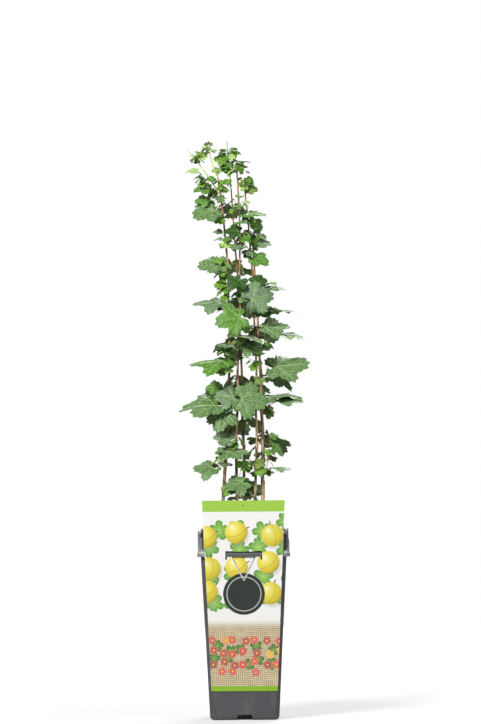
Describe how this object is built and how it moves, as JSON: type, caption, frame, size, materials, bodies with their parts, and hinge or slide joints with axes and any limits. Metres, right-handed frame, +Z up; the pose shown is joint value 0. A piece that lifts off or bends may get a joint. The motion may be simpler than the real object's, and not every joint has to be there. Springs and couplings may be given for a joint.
{
  "type": "gooseberry bush in a pot",
  "caption": "Young gooseberry bush with slim upright stems and lobed leaves, standing in a deep square plastic pot with a hanging card",
  "frame": {"origin": "the middle of the pot's flat underside, on the surface it stands on", "axes": "+Z up along the stems, -Y towards the front of the pot, where the card hangs, +X to the right as seen from the front"},
  "size_m": [0.156, 0.1231, 0.6991],
  "materials": {
    "pot_plastic": "dark grey moulded plastic, fine grain",
    "compost": "moist fibrous compost, dark brown",
    "printed_card": "stiff printed sheet, satin",
    "bark": "grey brown bark, peeling in places",
    "green_shoot": "soft young yellow green bark",
    "foliage": "soft matt green leaves with a bluish bloom"
  },
  "bodies": {
    "root": {"compost": "compost", "label_card": "printed_card", "leaves_back_01": "foliage", "leaves_back_02": "foliage", "leaves_back_03": "foliage", "leaves_back_04": "foliage", "leaves_back_05": "foliage", "leaves_back_06": "foliage", "leaves_back_07": "foliage", "leaves_back_08": "foliage", "leaves_back_09": "foliage", "leaves_front_01": "foliage", "leaves_front_02": "foliage", "leaves_front_03": "foliage", "leaves_front_04": "foliage", "leaves_front_05": "foliage", "leaves_front_06": "foliage", "leaves_front_07": "foliage", "leaves_front_08": "foliage", "leaves_front_09": "foliage", "leaves_left_01": "foliage", "leaves_left_02": "foliage", "leaves_left_03": "foliage", "leaves_left_04": "foliage", "leaves_left_05": "foliage", "leaves_left_06": "foliage", "leaves_left_07": "foliage", "leaves_left_08": "foliage", "leaves_left_09": "foliage", "leaves_left_10": "foliage", "leaves_left_11": "foliage", "leaves_left_12": "foliage", "leaves_long_01": "foliage", "leaves_long_02": "foliage", "leaves_middle_01": "foliage", "leaves_middle_02": "foliage", "leaves_middle_03": "foliage", "leaves_middle_04": "foliage", "leaves_middle_05": "foliage", "leaves_middle_06": "foliage", "leaves_middle_07": "foliage", "leaves_pale_01": "foliage", "leaves_right_01": "foliage", "leaves_right_02": "foliage", "leaves_right_03": "foliage", "leaves_right_04": "foliage", "leaves_right_05": "foliage", "leaves_right_06": "foliage", "leaves_right_07": "foliage", "leaves_right_08": "foliage", "leaves_right_09": "foliage", "pot": "pot_plastic", "shoot_long": "green_shoot", "shoot_pale": "green_shoot", "stem_back": "bark", "stem_front": "bark", "stem_left": "bark", "stem_middle": "bark", "stem_right": "bark"}
  },
  "joints": []
}
